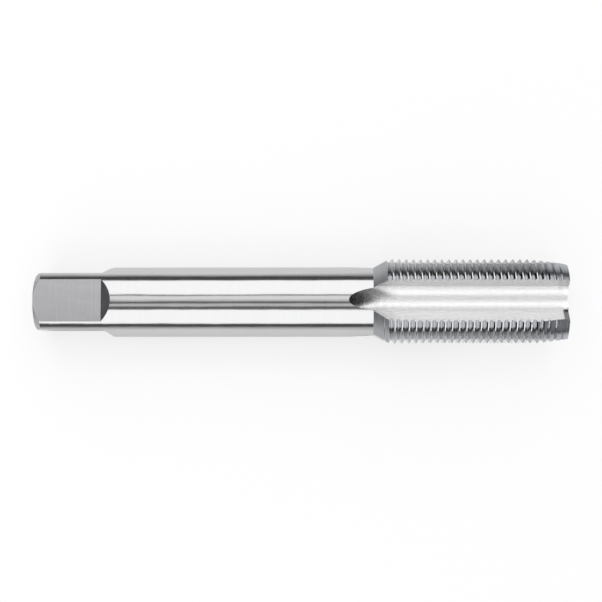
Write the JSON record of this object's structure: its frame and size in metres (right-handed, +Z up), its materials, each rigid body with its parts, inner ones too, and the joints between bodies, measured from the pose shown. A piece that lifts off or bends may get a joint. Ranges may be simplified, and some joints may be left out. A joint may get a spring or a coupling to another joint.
{
  "type": "thread tap",
  "caption": "Straight-fluted right-hand hand tap of bright ground steel, with a plain round shank, a square drive end and a tapered lead, lying on its side.",
  "frame": {"origin": "on the surface the tap lies on, midway along its length and under its axis", "axes": "+X along the tap towards the cutting tip, +Z up; the tap lies on the thread's crests and on the start of its round shank, so its axis rises 1.46 degrees towards the tip"},
  "size_m": [0.1138, 0.018, 0.0187],
  "materials": {
    "ground_tool_steel": "bright ground high speed steel, fine grinding lines round the shank and across the flats"
  },
  "bodies": {
    "root": {"thread_tap": "ground_tool_steel"}
  },
  "joints": []
}
